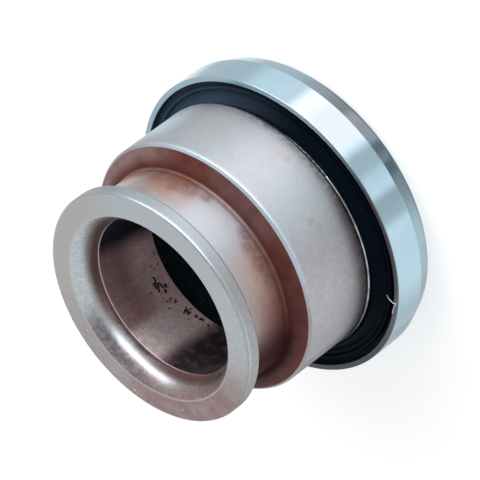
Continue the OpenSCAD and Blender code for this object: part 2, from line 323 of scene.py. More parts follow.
def flangeTints(on, look, f, colour):
    tree = on.tree
    rim = times(tree, on.out(*f["rimOut"]), on.level(*f["rimRise"]), on.level(*f["rimTop"]))
    # painted shade on the rim where the key light falls
    colour = dab(tree, colour, look["rim"], rim, on.side(*f["rim"]), mode="MULTIPLY")
    colour = dab(tree, colour, look["warmRim"], rim, on.side(*f["warmRim"]), mode="MULTIPLY")
    front = on.level(*f["face"])
    colour = dab(tree, colour, tint(tree, on.side(*f["cool"]), look["face"], look["cool"]), front)
    colour = dab(tree, colour, look["pink"], front, on.side(*f["pink"]), on.mottle)
    colour = dab(tree, colour, look["stain"], on.level(*f["brownedRise"]), on.side(*f["browned"]), on.mottle)
    specks = times(tree, ramp(tree, on.fine, *f["speckGrain"]), on.side(*f["specks"]),
                   on.out(*f["specksOut"]))
    colour = dab(tree, colour, look["rust"], specks, on.level(*f["specksRise"]))
    colour = dab(tree, colour, look["worn"], on.ring(*f["worn"]), on.level(*f["wornRise"]))
    for place, size in f["pits"]:
        colour = dab(tree, colour, look["pit"], blot(tree, on.spot, place, size), f["pitShare"])
    return colour


# mouth: pale on one side, grimy below it, darkening to a brown lip that is brushed where it shines
mouthFades = dict(
    inner=(20.2, 20.5, 1.0, 0.0), rise=(40.7, 40.9),
    blotched=(92, 34, 18), blotchedRise=(43.0, 44.2), blotchedPatch=(0.42, 0.6, 0.0, 0.6),
    pale=(36, 36, 18), paleRise=(43.2, 44.4), paleGrit=(0.3, 0.6, 0.75, 1.0),
    grimy=(101, 22, 16), grimyRise=(43.5, 44.5), grimyFine=(0.32, 0.62, 0.4, 1.0),
    grimyGrit=(0.3, 0.6, 0.5, 0.8),
    lip=(41.3, 42.3, 1.0, 0.0), lipShare=0.85,
    widerLip=[((22, 48, 26), (42.2, 43.4, 1.0, 0.0)), ((151, 26, 16), (42.2, 44.0, 1.0, 0.0))],
    shiny=(106, 18, 14), dim=(42.2, 44.2, 1.0, 0.0), dull=(41.4, 43.8, 0.45, 0.0),
    brushTurn=0.0175, brushHeight=0.15, brushNoise=(1500, 3, 0.6), brushed=(0.48, 0.60, 0.0, 0.8),
    hatch=(98, 20, 12), hatchTop=(41.4, 42.9, 1.0, 0.0), grain=(0.30, 0.70, 0.87, 1.09))


def mouthTints(on, look, f, colour):
    tree = on.tree
    mouth = times(tree, on.out(*f["inner"]), on.level(*f["rise"]))
    blotched = times(tree, mouth, on.side(*f["blotched"]), ramp(tree, on.patch, *f["blotchedPatch"]))
    colour = dab(tree, colour, look["pink"], blotched, on.level(*f["blotchedRise"]))
    pale = times(tree, mouth, on.side(*f["pale"]), on.level(*f["paleRise"]),
                 ramp(tree, on.grit, *f["paleGrit"]))
    colour = dab(tree, colour, look["pale"], pale)
    grimy = times(tree, mouth, on.side(*f["grimy"]), on.level(*f["grimyRise"]),
                  ramp(tree, on.fine, *f["grimyFine"]))
    colour = dab(tree, colour, look["grime"], grimy, ramp(tree, on.grit, *f["grimyGrit"]))
    lipped = on.level(*f["lip"])
    for where, top in f["widerLip"]:
        lipped = calc(tree, "MAXIMUM", lipped, times(tree, on.level(*top), on.side(*where)))
    unlit = calc(tree, "SUBTRACT", 1.0, on.side(*f["shiny"]))
    colour = dab(tree, colour, look["lipShade"], mouth, on.level(*f["dim"]), unlit, mode="MULTIPLY")
    colour = dab(tree, colour, look["lip"], mouth, lipped, f["lipShare"])
    along = {0: times(tree, on.turn, f["brushTurn"]), 1: times(tree, on.height, f["brushHeight"])}
    brush = noise(tree, put(tree, "ShaderNodeCombineXYZ", along).outputs[0], *f["brushNoise"])
    hatch = times(tree, ramp(tree, brush, *f["brushed"]), on.side(*f["hatch"]), on.level(*f["hatchTop"]))
    colour = dab(tree, colour, look["grime"], hatch, mouth)
    colour = dab(tree, colour, shaded(tree, colour, ramp(tree, on.grit, *f["grain"])), mouth)
    return colour, mouth, times(tree, mouth, on.level(*f["dull"]))


# bore land: brown and lighter deeper in as painted light, with a painted highlight down one strip, scuffed
# dark beside it, and painted shade on the far side;
# grease recess behind it, nearly black with a few glints
boreFades = dict(
    land=(17.56, 17.70, 1.0, 0.0), landLow=(25.8, 25.9),
    deep=(29.0, 36.5, 1.0, 0.0), deepPatch=(0.3, 0.6, 0.7, 1.0),
    strip=(109, 5, 13), stripRise=(26.5, 34.0), stripCloud=(0.3, 0.6, 0.85, 1.0),
    scuff=(154, 29, 8), scratchTurn=(0.5, 0.3, 0.4), scratchSize=(1, 1, 2), scratchNoise=(300, 5, 0.62),
    scratched=(0.46, 0.70, 0.0, 0.14), shade=(4, 37, 9), shadeHeight=33.9, shadeLean=14.5,
    fine=(0.30, 0.70, 0.84, 1.14), lipHighlight=(40.93, 41.0, 0.03), lipHighlightOut=(17.85, 18.0, 1.0, 0.0),
    lipHighlightSide=(70, 70, 20), recess=(14.5, 25.85, 0.1), recessOut=(17.7, 19.6, 0.12), glints=(0.55, 0.72))


def boreTints(on, look, f, colour):
    tree = on.tree
    land = times(tree, on.out(*f["land"]), on.level(*f["landLow"]))
    # painted light: the land grows lighter deeper in
    deep = times(tree, on.level(*f["deep"]), ramp(tree, on.patch, *f["deepPatch"]))
    brown = tint(tree, deep, look["bore"], look["boreDeep"])
    # painted highlight: a pale streak down the far wall
    strip = times(tree, on.side(*f["strip"]), on.level(*f["stripRise"]),
                  ramp(tree, on.cloud, *f["stripCloud"]))
    brown = dab(tree, brown, look["highlightStreak"], strip)
    slanted = {"Vector": on.spot, "Rotation": f["scratchTurn"], "Scale": f["scratchSize"]}
    scratch = noise(tree, put(tree, "ShaderNodeMapping", slanted).outputs[0], *f["scratchNoise"])
    scuffed = tint(tree, ramp(tree, scratch, *f["scratched"]), look["scuff"], look["boreDeep"])
    brown = dab(tree, brown, scuffed, on.side(*f["scuff"]))
    above = calc(tree, "SUBTRACT", on.height, f["shadeHeight"] * mm)
    drift = calc(tree, "MULTIPLY_ADD", above, f["shadeLean"], on.turn)
    brown = dab(tree, brown, look["shade"], sector(tree, drift, *f["shade"]))
    brown = shaded(tree, brown, ramp(tree, on.fine, *f["fine"]))
    colour = dab(tree, colour, brown, land)
    # painted highlight along the bore's front edge, on one side
    lipHighlight = times(tree, on.belt(*f["lipHighlight"]), on.out(*f["lipHighlightOut"]), on.side(*f["lipHighlightSide"]))
    colour = dab(tree, colour, look["lipHighlight"], lipHighlight)
    recess = times(tree, on.belt(*f["recess"]), on.ring(*f["recessOut"]))
    nearBlack = tint(tree, ramp(tree, on.fine, *f["glints"]), look["recess"], look["fleck"])
    return dab(tree, colour, nearBlack, recess), land, recess


def sinteredIron(look):
    finish, tree, shader = startFinish("sinteredIron")
    on = ironPlace(tree, look)
    colour = bodyTints(on, look, bodyFades)
    colour, rustShaded = grooveTints(on, look, grooveFades, colour)
    colour, edge, step = shoulderTints(on, look, shoulderFades, colour)
    colour = flangeTints(on, look, flangeFades, colour)
    colour, mouth, oxide = mouthTints(on, look, mouthFades, colour)
    colour, land, recess = boreTints(on, look, boreFades, colour)
    colour = shaded(tree, colour, ramp(tree, on.grain, *look["grainy"]))
    speckled = shaded(tree, colour, ramp(tree, on.fine, *look["speckled"]))
    colour = dab(tree, colour, speckled, on.side(*look["speckledSide"]))
    tree.links.new(colour, shader.inputs["Base Color"])
    # rust, rust darkened with painted shade, and brown films are less metallic and rougher than the bare iron
    oxidised = {"stepOxide": step, "landOxide": land, "recessOxide": recess, "rustShadeOxide": rustShaded}
    for share, place in oxidised.items():
        oxide = calc(tree, "MAXIMUM", oxide, times(tree, place, look[share]))
    tree.links.new(calc(tree, "SUBTRACT", 1.0, oxide), shader.inputs["Metallic"])
    satin = calc(tree, "ADD", look["rough"], times(tree, on.grain, look["roughSpread"]))
    polished = calc(tree, "MAXIMUM", calc(tree, "MAXIMUM", mouth, edge), on.level(*look["polishRise"]))
    satin = calc(tree, "SUBTRACT", satin, times(tree, polished, look["polish"]))
    crusty = calc(tree, "MAXIMUM", times(tree, oxide, look["oxideRough"]),
                  times(tree, rustShaded, look["rustShadeRough"]))
    tree.links.new(calc(tree, "ADD", satin, crusty), shader.inputs["Roughness"])
    tree.links.new(bump(tree, on.grain, look["bump"], look["deep"]), shader.inputs["Normal"])
    return finish


# ground and polished ring, with an oily film on part of its front rim
steelLook = dict(
    colour=rgb(0.49, 0.65, 0.72), shade=rgb(0.45, 0.61, 0.68), lit=rgb(0.50, 0.57, 0.61),
    overlay=rgb(0.19, 0.16, 0.17), smoke=rgb(0.07, 0.055, 0.06),
    cloud=(120, 3), cloudy=(0.35, 0.7), litSide=(-72, 12, 6),
    lapTurn=0.004, lap=(9000, 2, 0.6), rimLow=11.4, rimHigh=11.55, rimIn=30, rimOut=31,
    overlaySide=(-160, 72, 28), filmShare=0.9, smokeSide=(166, 34, 16),
    rough=0.07, lapRough=0.06, filmRough=0.15, bump=0.08, deep=0.003)


def ringSteel(look):
    finish, tree, shader = startFinish("ringSteel")
    spot, radius, turn, height = placeOn(tree)
    lap = put(tree, "ShaderNodeCombineXYZ", {0: times(tree, turn, look["lapTurn"]), 1: radius, 2: height})
    lines = noise(tree, lap.outputs[0], *look["lap"])
    cloud = noise(tree, spot, *look["cloud"])
    colour = tint(tree, ramp(tree, cloud, *look["cloudy"]), look["colour"], look["shade"])
    colour = dab(tree, colour, look["lit"], sector(tree, turn, *look["litSide"]))
    front = times(tree, ramp(tree, height, look["rimLow"] * mm, look["rimHigh"] * mm),
                  ramp(tree, radius, look["rimIn"] * mm, look["rimOut"] * mm),
                  sector(tree, turn, *look["overlaySide"]))
    overlay = tint(tree, sector(tree, turn, *look["smokeSide"]), look["overlay"], look["smoke"])
    colour = dab(tree, colour, overlay, front, look["filmShare"])
    tree.links.new(colour, shader.inputs["Base Color"])
    shader.inputs["Metallic"].default_value = 1.0
    dull = calc(tree, "ADD", look["rough"], times(tree, lines, look["lapRough"]))
    dull = calc(tree, "ADD", dull, times(tree, front, look["filmRough"]))
    tree.links.new(dull, shader.inputs["Roughness"])
    tree.links.new(bump(tree, lines, look["bump"], look["deep"]), shader.inputs["Normal"])
    return finish


# black seal rubber, with a painted reflection, pale and bluish, on its far side
rubberLook = dict(
    colour=rgb(0.0008, 0.0035, 0.008), dust=rgb(0.006, 0.011, 0.018), overlay=rgb(0.030, 0.047, 0.072),
    speck=(900, 4, 0.65), dusty=(0.58, 0.82), blotches=(70, 3), sheen=(0.3, 0.6, 0.6, 1.0), overlaySide=(14, 30, 54),
    rough=0.32, roughSpread=0.14, gloss=0.035, bump=0.12, deep=0.02)


def sealRubber(look):
    finish, tree, shader = startFinish("sealRubber")
    spot, _, turn, _ = placeOn(tree)
    speck = noise(tree, spot, *look["speck"])
    blotches = noise(tree, spot, *look["blotches"])
    colour = tint(tree, ramp(tree, speck, *look["dusty"]), look["colour"], look["dust"])
    # painted reflection, pale and bluish, on the far side
    overlay = times(tree, sector(tree, turn, *look["overlaySide"]), ramp(tree, blotches, *look["sheen"]))
    tree.links.new(dab(tree, colour, look["overlay"], overlay), shader.inputs["Base Color"])
    shader.inputs["Specular IOR Level"].default_value = look["gloss"]
    rough = calc(tree, "ADD", look["rough"], times(tree, blotches, look["roughSpread"]))
    tree.links.new(rough, shader.inputs["Roughness"])
    tree.links.new(bump(tree, speck, look["bump"], look["deep"]), shader.inputs["Normal"])
    return finish


def grainyMetal(name, look, colourOf):
    finish, tree, shader = startFinish(name)
    spot, _, turn, _ = placeOn(tree)
    grain = noise(tree, spot, *look["grain"])
    tree.links.new(colourOf(tree, spot, turn, grain, look), shader.inputs["Base Color"])
    shader.inputs["Metallic"].default_value = 1.0
    rough = calc(tree, "ADD", look["rough"], times(tree, grain, look["roughSpread"]))
    tree.links.new(rough, shader.inputs["Roughness"])
    tree.links.new(bump(tree, grain, look["bump"], look["deep"]), shader.inputs["Normal"])
    return finish


# balls and springs: one steel colour, darker in its grain
ballLook = dict(colour=rgb(0.72, 0.73, 0.74), rough=0.06, grain=(4000, 3), cloudy=(0.3, 0.7), darker=0.8,
                roughSpread=0.1, bump=0.1, deep=0.01)
springLook = dict(ballLook, colour=rgb(0.24, 0.25, 0.27), rough=0.32, grain=(3000, 3))


def evenSteel(tree, spot, turn, grain, look):
    dark = rgb(*(look["darker"] * part for part in look["colour"][:3]))
    return tint(tree, ramp(tree, grain, *look["cloudy"]), look["colour"], dark)


# race land beside the seal: bright on one side as a painted highlight, darkened with painted shade on the
# rest
raceLook = dict(colour=rgb(0.62, 0.67, 0.70), grease=rgb(0.035, 0.042, 0.050), rough=0.16, grain=(2500, 3),
                smear=(300, 3), smeared=(0.35, 0.6, 0.5, 1.0), wipedSide=(-98, 60, 18),
                roughSpread=0.12, bump=0.1, deep=0.01)


def sheenSteel(tree, spot, turn, grain, look):
    smear = noise(tree, spot, *look["smear"])
    # painted highlight on one side, painted shade on the rest
    sheen = times(tree, sector(tree, turn, *look["wipedSide"]), ramp(tree, smear, *look["smeared"]))
    return tint(tree, sheen, look["grease"], look["colour"])


# dull stuff between two colours: moulded cage, dried dirt, fibre
cageLook = dict(colour=rgb(0.60, 0.52, 0.36), pale=rgb(0.70, 0.62, 0.45), rough=0.4, cloud=(700, 3),
                roughSpread=0.15)
crumbLook = dict(colour=rgb(0.022, 0.014, 0.012), pale=rgb(0.07, 0.047, 0.04), rough=0.6, cloud=(2600, 3),
                 roughSpread=0.2)
threadLook = dict(crumbLook, colour=rgb(0.75, 0.80, 0.84), pale=rgb(0.85, 0.88, 0.90), rough=0.4)


def cloudy(name, look):
    finish, tree, shader = startFinish(name)
    cloud = noise(tree, placeOn(tree)[0], *look["cloud"])
    tree.links.new(tint(tree, cloud, look["colour"], look["pale"]), shader.inputs["Base Color"])
    rough = calc(tree, "ADD", look["rough"], times(tree, cloud, look["roughSpread"]))
    tree.links.new(rough, shader.inputs["Roughness"])
    return finish


finishes = {
    "sintered_iron": sinteredIron(ironLook),
    "ring_steel": ringSteel(steelLook),
    "seal_rubber": sealRubber(rubberLook),
    "race_steel": grainyMetal("raceSteel", raceLook, sheenSteel),
    "ball_steel": grainyMetal("ballSteel", ballLook, evenSteel),
    "spring_steel": grainyMetal("springSteel", springLook, evenSteel),
    "cage_nylon": cloudy("cageNylon", cageLook),
}
for part in frame["record"]["subparts"]:
    for holder in nodes[part["node"]].material_slots:
        holder.material = finishes[part["material_slot"]]
dirtFinish = cloudy("driedDirt", crumbLook)
fibreFinish = cloudy("paleFibre", threadLook)
print("finishes made:", len(finishes) + 2)


def startTree(name, inputs, output):
    tree = bpy.data.node_groups.new(name, "GeometryNodeTree")
    for label, kind in inputs.items():
        tree.interface.new_socket(label, in_out="INPUT", socket_type="NodeSocket" + kind)
    tree.interface.new_socket(output, in_out="OUTPUT", socket_type="NodeSocketGeometry")
    return tree, tree.nodes.new("NodeGroupInput").outputs


def endTree(tree, made, finish):
    dressed = put(tree, "GeometryNodeSetMaterial", {"Geometry": made, "Material": finish})
    put(tree, "NodeGroupOutput", {0: dressed.outputs[0]})


def smoothed(tree, form, which, domain):
    inputs = {"Geometry": form, "Shade Smooth": which}
    return put(tree, "GeometryNodeSetShadeSmooth", inputs, domain=domain).outputs[0]


# turned pieces: a profile swept round an axis; points closer than the seam in mm are joined
turning = dict(seam=0.002, crease=30)


def turnedTree(s):
    inputs = {"Profile": "Geometry", "Profile Points": "Int", "Segments": "Int", "Axis X": "Float",
              "Crease": "Float", "Finish": "Material"}
    tree, given = startTree("turnedPiece", inputs, "Turned")
    rows = calc(tree, "ADD", given["Segments"], 1.0)
    grid = put(tree, "GeometryNodeMeshGrid", {"Vertices X": given["Profile Points"], "Vertices Y": rows})
    index = put(tree, "GeometryNodeInputIndex").outputs[0]
    along = calc(tree, "FLOOR", calc(tree, "DIVIDE", calc(tree, "ADD", index, 0.5), rows))
    step = calc(tree, "SUBTRACT", index, calc(tree, "MULTIPLY", along, rows))
    turn = calc(tree, "MULTIPLY", calc(tree, "DIVIDE", step, given["Segments"]), math.tau)
    point = put(tree, "GeometryNodeInputPosition").outputs[0]
    sample = {"Geometry": given["Profile"], "Value": point, "Index": along}
    picked = put(tree, "GeometryNodeSampleIndex", sample, data_type="FLOAT_VECTOR", domain="POINT",
                 clamp=True)
    section = put(tree, "ShaderNodeSeparateXYZ", {0: picked.outputs[0]}).outputs
    x = calc(tree, "MULTIPLY_ADD", section[0], calc(tree, "COSINE", turn), given["Axis X"])
    y = calc(tree, "MULTIPLY", section[0], calc(tree, "SINE", turn))
    place = put(tree, "ShaderNodeCombineXYZ", {0: x, 1: y, 2: section[2]}).outputs[0]
    swept = put(tree, "GeometryNodeSetPosition", {"Geometry": grid.outputs["Mesh"], "Position": place})
    joined = {"Geometry": swept.outputs[0], "Distance": s["seam"] * mm}
    closed = put(tree, "GeometryNodeMergeByDistance", joined)
    smooth = smoothed(tree, closed.outputs[0], True, "FACE")
    angle = put(tree, "GeometryNodeInputMeshEdgeAngle").outputs["Unsigned Angle"]
    limit = {0: angle, 1: given["Crease"]}
    gentle = put(tree, "FunctionNodeCompare", limit, data_type="FLOAT", operation="LESS_THAN")
    creased = smoothed(tree, smooth, gentle.outputs[0], "EDGE")
    real = put(tree, "GeometryNodeRealizeInstances", {"Geometry": creased})
    endTree(tree, real.outputs[0], given["Finish"])
    return tree


# a round takes this share of its shorter side at most, in steps of so many degrees; long flats are held in mm
rounding = dict(share=0.48, straight=88, step=11, fewest=3, longFlat=0.7, hold=0.1)


def roundOff(corners, s):
    # (radius, height, rounding) in mm, closed; each rounded corner becomes a short arc
    points = []
    count = len(corners)
    for i, (r, z, wish) in enumerate(corners):
        here = Vector((r, z))
        back = Vector(corners[i - 1][:2]) - here
        ahead = Vector(corners[(i + 1) % count][:2]) - here
        half = back.angle(ahead) / 2
        if wish <= 0 or half > math.radians(s["straight"]):
            points.append(here)
            continue
        reach = min(wish / math.tan(half), s["share"] * back.length, s["share"] * ahead.length)
        size = reach * math.tan(half)
        middle = here + (back.normalized() + ahead.normalized()).normalized() * (size / math.sin(half))
        first = here + back.normalized() * reach - middle
        last = here + ahead.normalized() * reach - middle
        sweep = first.angle_signed(last)
        steps = max(s["fewest"], int(abs(sweep) / math.radians(s["step"])) + 1)
        for k in range(steps + 1):
            points.append(middle + Matrix.Rotation(-sweep * k / steps, 2) @ first)
    # holding points beside the ends of long flats keep the shading of the flats true
    held = []
    for i, p in enumerate(points):
        held.append(p)
        q = points[(i + 1) % len(points)]
        if (q - p).length > s["longFlat"]:
            held.append(p + (q - p).normalized() * s["hold"])
            held.append(q - (q - p).normalized() * s["hold"])
    return held


def arc(centre, size, start, end, steps):
    turns = [math.radians(start + (end - start) * k / steps) for k in range(steps + 1)]
    return [(centre[0] + size * math.cos(t), centre[1] + size * math.sin(t), 0) for t in turns]


def fromNodes(tree, base, settings, name):
    # runs a node tree on a base mesh and keeps the result as a plain mesh object
    holder = bpy.data.objects.new(name + "Base", base)
    bpy.context.scene.collection.objects.link(holder)
    modifier = holder.modifiers.new("make", "NODES")
    modifier.node_group = tree
    for item in tree.interface.items_tree:
        if item.item_type == "SOCKET" and item.in_out == "INPUT" and item.name in settings:
            modifier[item.identifier] = settings[item.name]
    holder.update_tag()
    bpy.context.view_layer.update()
    graph = bpy.context.evaluated_depsgraph_get()
    mesh = bpy.data.meshes.new_from_object(holder.evaluated_get(graph))
    bpy.data.objects.remove(holder)
    mesh.name = name
    piece = bpy.data.objects.new(name, mesh)
    bpy.context.scene.collection.objects.link(piece)
    return piece


def faceOutward(piece):
    form = bmesh.new()
    form.from_mesh(piece.data)
    bmesh.ops.recalc_face_normals(form, faces=form.faces)
    form.to_mesh(piece.data)
    form.free()


def openLine(name, points):
    base = bpy.data.meshes.new(name)
    base.from_pydata(points, [(i, i + 1) for i in range(len(points) - 1)], [])
    return base


turnedGroup = turnedTree(turning)


def turned(name, corners, axis, segments, slot, node, body):
    points = roundOff(corners, rounding)
    points.append(points[0])
    base = openLine(name + "Profile", [(p[0] * mm, 0, p[1] * mm) for p in points])
    settings = {"Profile Points": len(points), "Segments": segments, "Axis X": axis * mm,
                "Crease": math.radians(turning["crease"]), "Finish": finishes[slot]}
    piece = fromNodes(turnedGroup, base, settings, name)
    faceOutward(piece)
    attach(piece, body)
    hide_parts(node)
    print("turned", name, len(points), "profile points,", len(piece.data.polygons), "faces")


# collar, from the flange face down: mouth, flange, fork groove, body, spigot; inside, bore lands and recess
collarSizes = dict(
    segments=240, bore=17.5, mouth=20.45, mouthDeep=5.1, mouthRound=7.5, mouthStart=3, mouthSteps=14,
    mouthEdge=0.25, lipBreak=0.25, lipRound=0.1, frontLand=14.9, landRound=0.08,
    recess=19.2, recessLong=11.5, recessLean=0.4, recessRound=0.15,
    flange=25.4, flangeThick=3.6, flangeLean=1.0, flangeBreak=0.4, flangeBack=0.5, flangeFront=1.0,
    groove=22.9, grooveWide=9.6, grooveRound=0.7, shoulderLean=1.7, body=27.4, bodyLong=17.1, bodyRear=0.9,
    chamfer=0.5, chamferRound=0.25, spigot=20.6, spigotRoot=0.05, endRound=0.2, snapFloor=19.85, snapLow=1.10,
    snapHigh=2.20, snapRound=0.05)


def makeCollar(s):
    end = collarLow[2] / mm
    flangeLow = collarTop - s["flangeThick"]
    floorHigh = flangeLow - s["flangeLean"]
    floorLow = floorHigh - s["grooveWide"]
    shoulder = floorLow - s["shoulderLean"]
    rear = shoulder - s["bodyLong"]
    lip = collarTop - s["mouthDeep"]
    landLow = lip - s["lipBreak"] - s["frontLand"]
    recessLow = landLow - s["recessLong"]
    upper, lower = Vector((s["mouth"], collarTop)), Vector((s["bore"] + s["lipBreak"], lip))
    run = lower - upper
    rise = math.sqrt(s["mouthRound"] ** 2 - run.length_squared / 4)
    middle = (upper + lower) / 2 + rise * Vector((-run.y, run.x)).normalized()
    startTurn = math.degrees(math.atan2(upper.y - middle.y, upper.x - middle.x)) + s["mouthStart"]
    endTurn = math.degrees(math.atan2(lower.y - middle.y, lower.x - middle.x))
    corners = [
        (s["bore"], end, s["endRound"]), (s["spigot"], end, s["endRound"]),
        (s["spigot"], s["snapLow"], s["snapRound"]), (s["snapFloor"], s["snapLow"], 0),
        (s["snapFloor"], s["snapHigh"], 0), (s["spigot"], s["snapHigh"], s["snapRound"]),
        (s["spigot"], rear, s["spigotRoot"]), (s["body"], rear, s["bodyRear"]),
        (s["body"], shoulder - s["chamfer"], s["chamferRound"]),
        (s["body"] - s["chamfer"], shoulder, s["chamferRound"]),
        (s["groove"], floorLow, s["grooveRound"]), (s["groove"], floorHigh, s["grooveRound"]),
        (s["flange"] - s["flangeBreak"], flangeLow, s["flangeBack"]),
        (s["flange"], flangeLow + s["flangeBreak"], s["flangeBack"]),
        (s["flange"], collarTop, s["flangeFront"]), (s["mouth"], collarTop, s["mouthEdge"]),
    ]
    corners += arc(middle, s["mouthRound"], startTurn, endTurn, s["mouthSteps"])
    corners += [
        (s["bore"], lip - s["lipBreak"], s["lipRound"]), (s["bore"], landLow, s["landRound"]),
        (s["recess"], landLow - s["recessLean"], s["recessRound"]),
        (s["recess"], recessLow + s["recessLean"], s["recessRound"]), (s["bore"], recessLow, s["landRound"]),
    ]
    turned("collarTurned", corners, collarAxis, s["segments"], "sintered_iron", "collar", "sleeve")


# bright ring: straight band, tapered rear edge, round contact face, ball track and seal seat inside
ringSizes = dict(
    segments=288, outside=32.95, height=11.6, band=4.7, bandRound=0.35, taper=20,
    contactRound=2.4, contactSteps=14, rim=1.2, rimRound=0.22, seatHigh=9.85, seatRound=0.05,
    pitch=27.525, ballHeight=6.203, track=2.853, trackSteps=20,
    lowShoulder=29.525, highShoulder=26.719, shoulderRound=0.1, innerBreak=0.4)


def makeRing(s):
    lean = math.radians(s["taper"])
    tapered = s["band"] - s["contactRound"]
    edge = s["outside"] - math.tan(lean) * tapered - s["contactRound"] / math.cos(lean)
    seat = s["outside"] - s["rim"]
    outTurn = math.degrees(math.acos((s["lowShoulder"] - s["pitch"]) / s["track"]))
    inTurn = -math.degrees(math.acos((s["highShoulder"] - s["pitch"]) / s["track"]))
    corners = [(s["highShoulder"] + s["innerBreak"], 0, s["shoulderRound"])]
    corners += arc((edge, s["contactRound"]), s["contactRound"], -90, -s["taper"], s["contactSteps"])
    corners += [
        (s["outside"], s["band"], s["bandRound"]), (s["outside"], s["height"], s["rimRound"]),
        (seat, s["height"], s["rimRound"]), (seat, s["seatHigh"], s["seatRound"]),
        (s["lowShoulder"], s["seatHigh"], s["shoulderRound"]),
    ]
    corners += arc((s["pitch"], s["ballHeight"]), s["track"], outTurn, inTurn, s["trackSteps"])
    corners += [(s["highShoulder"], s["innerBreak"], s["shoulderRound"])]
    turned("ringTurned", corners, 0, s["segments"], "ring_steel", "outer_ring", "contact_ring")


# dished front seal with a bead near the ring and a lip over the race
sealSizes = dict(
    segments=240, seat=31.73, low=9.85, ledge=10.21, seatRound=0.05, face=10.75, bead=30.2, beadRound=0.45,
    beadSweep=165, beadSteps=14, beadFoot=0.12, beadGap=0.12, gapRound=0.15, knee=29.025, kneeRound=0.9,
    lipOut=27.475, lipOutRound=0.3,
    lip=26.975, lipRound=0.12, lipTop=12.5, lipLow=11.85, lipLowRound=0.05, root=28.625, rootRound=0.1)


def makeSeal(s):
    corners = [
        (s["seat"], s["low"], s["seatRound"]), (s["seat"], s["ledge"], s["seatRound"]),
        (s["bead"] + s["beadRound"], s["ledge"], s["beadFoot"]),
    ]
    corners += arc((s["bead"], s["face"]), s["beadRound"], 0, s["beadSweep"], s["beadSteps"])
    corners += [
        (s["bead"] - s["beadRound"] - s["beadGap"], s["face"], s["gapRound"]),
        (s["knee"], s["face"], s["kneeRound"]), (s["lipOut"], s["lipTop"], s["lipOutRound"]),
        (s["lip"], s["lipTop"], s["lipRound"]), (s["lip"], s["lipLow"], s["lipLowRound"]),
        (s["root"], s["low"], s["rootRound"]),
    ]
    turned("sealTurned", corners, 0, s["segments"], "seal_rubber", "front_seal", "contact_ring")


makeCollar(collarSizes)
makeRing(ringSizes)
makeSeal(sealSizes)


def tube(tree, path, ring):
    inputs = {"Curve": path.outputs[0], "Profile Curve": ring.outputs[0], "Fill Caps": True}
    return put(tree, "GeometryNodeCurveToMesh", inputs).outputs[0]


# crumbs of dirt that stick to the bore's wall: a lump and a curl, one mm long before they are scaled
crumbShape = dict(lumpDetail=2, curlSteps=9, curlSweep=150, wireSides=6, wire=0.13, narrow=(0.25, 0.75),
                  raggedScale=3500.0, raggedDetail=2.0, ragged=0.12)


def crumbTree(s):
    inputs = {"Spots": "Geometry", "Axis X": "Float", "Shortest": "Float", "Longest": "Float",
              "Thickness": "Float", "Lump Share": "Float", "Seed": "Int", "Finish": "Material"}
    tree, given = startTree("crumbs", inputs, "Crumbs")
    lump = put(tree, "GeometryNodeMeshIcoSphere", {"Radius": 1.0, "Subdivisions": s["lumpDetail"]})
    bend = {"Resolution": s["curlSteps"], "Radius": 1.0, "Sweep Angle": math.radians(s["curlSweep"])}
    hook = put(tree, "GeometryNodeCurveArc", bend)
    wire = put(tree, "GeometryNodeCurvePrimitiveCircle", {"Resolution": s["wireSides"], "Radius": s["wire"]})
    shapes = put(tree, "GeometryNodeGeometryToInstance")
    tree.links.new(tube(tree, hook, wire), shapes.inputs[0])
    tree.links.new(lump.outputs["Mesh"], shapes.inputs[0])
    point = put(tree, "ShaderNodeSeparateXYZ", {0: put(tree, "GeometryNodeInputPosition").outputs[0]}).outputs
    away = calc(tree, "SUBTRACT", point[0], given["Axis X"])
    outward = put(tree, "ShaderNodeCombineXYZ", {0: away, 1: point[1]})
    facing = put(tree, "FunctionNodeAlignRotationToVector", {"Vector": outward.outputs[0]}, axis="Z")

    def chance(low, high, shift):
        seed = calc(tree, "ADD", given["Seed"], shift)
        made = put(tree, "FunctionNodeRandomValue", {2: low, 3: high, 8: seed}, data_type="FLOAT")
        return made.outputs[1]

    long = chance(given["Shortest"], given["Longest"], 1.0)
    wide = calc(tree, "MULTIPLY", long, chance(*s["narrow"], 2.0))
    size = put(tree, "ShaderNodeCombineXYZ", {0: long, 1: wide, 2: given["Thickness"]}).outputs[0]
    spin = put(tree, "ShaderNodeCombineXYZ", {2: chance(0.0, math.pi, 3.0)}).outputs[0]
    kind = calc(tree, "LESS_THAN", chance(0.0, 1.0, 4.0), given["Lump Share"])
    scatter = {"Points": given["Spots"], "Instance": shapes.outputs[0], "Pick Instance": True,
               "Instance Index": kind, "Rotation": facing.outputs[0], "Scale": size}
    laid = put(tree, "GeometryNodeInstanceOnPoints", scatter).outputs[0]
    spun = {"Instances": laid, "Rotation": spin, "Local Space": True}
    turnedOver = put(tree, "GeometryNodeRotateInstances", spun)
    real = put(tree, "GeometryNodeRealizeInstances", {"Geometry": turnedOver.outputs[0]})
    rag = put(tree, "ShaderNodeTexNoise", {"Scale": s["raggedScale"], "Detail": s["raggedDetail"]})
    centred = {0: rag.outputs["Color"], 1: (0.5, 0.5, 0.5)}
    shove = put(tree, "ShaderNodeVectorMath", centred, operation="SUBTRACT")
    scaled = {0: shove.outputs[0], "Scale": s["ragged"] * mm}
    shove = put(tree, "ShaderNodeVectorMath", scaled, operation="SCALE")
    rough = put(tree, "GeometryNodeSetPosition", {"Geometry": real.outputs[0], "Offset": shove.outputs[0]})
    endTree(tree, rough.outputs[0], given["Finish"])
    return tree


